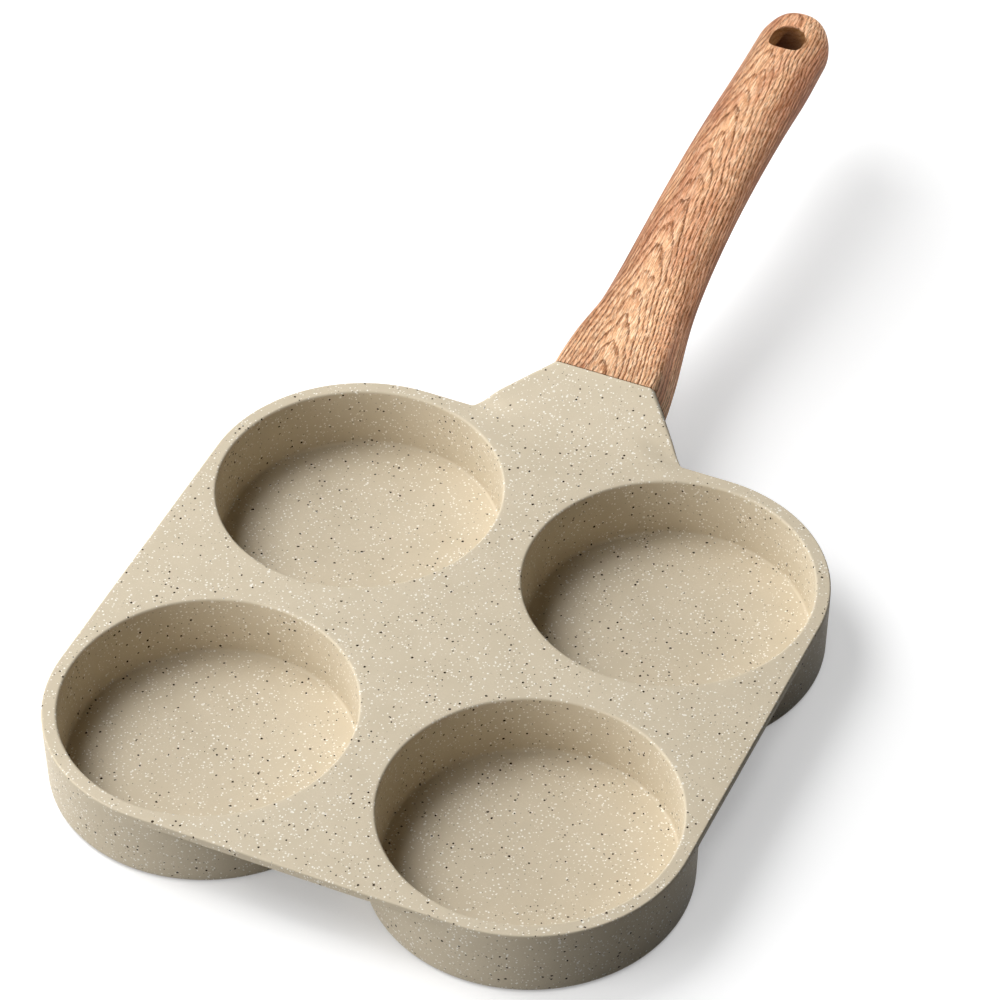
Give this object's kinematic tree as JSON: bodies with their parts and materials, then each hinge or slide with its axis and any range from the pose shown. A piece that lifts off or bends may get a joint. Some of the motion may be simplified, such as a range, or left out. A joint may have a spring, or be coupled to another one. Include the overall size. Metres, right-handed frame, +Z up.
{
  "type": "divided egg pan",
  "caption": "Divided egg pan: square coated deck with round flat-floored cups cast into it, a cast neck, and a wood-grained moulded handle with a hang hole, held on by a screw.",
  "frame": {"origin": "under the middle of the whole pan's box, on the surface that the cup bases stand on", "axes": "+Y along the pan from the front edge of the deck to the end of the handle, +Z up out of the cups, +X to the right when looking along +Y"},
  "size_m": [0.1914, 0.377, 0.0557],
  "materials": {
    "coated_casting": "satin greige non-stick coat with fine white and dark specks",
    "handle_moulding": "phenolic moulding with a satin wood-grain film",
    "screw_steel": "bright zinc plate",
    "spring_steel": "dull zinc plate",
    "washer_steel": "bright zinc plate"
  },
  "bodies": {
    "root": {"pan_casting": "coated_casting", "handle": "handle_moulding", "handle_screw": "screw_steel", "spring_washer": "spring_steel", "flat_washer": "washer_steel"}
  },
  "joints": []
}
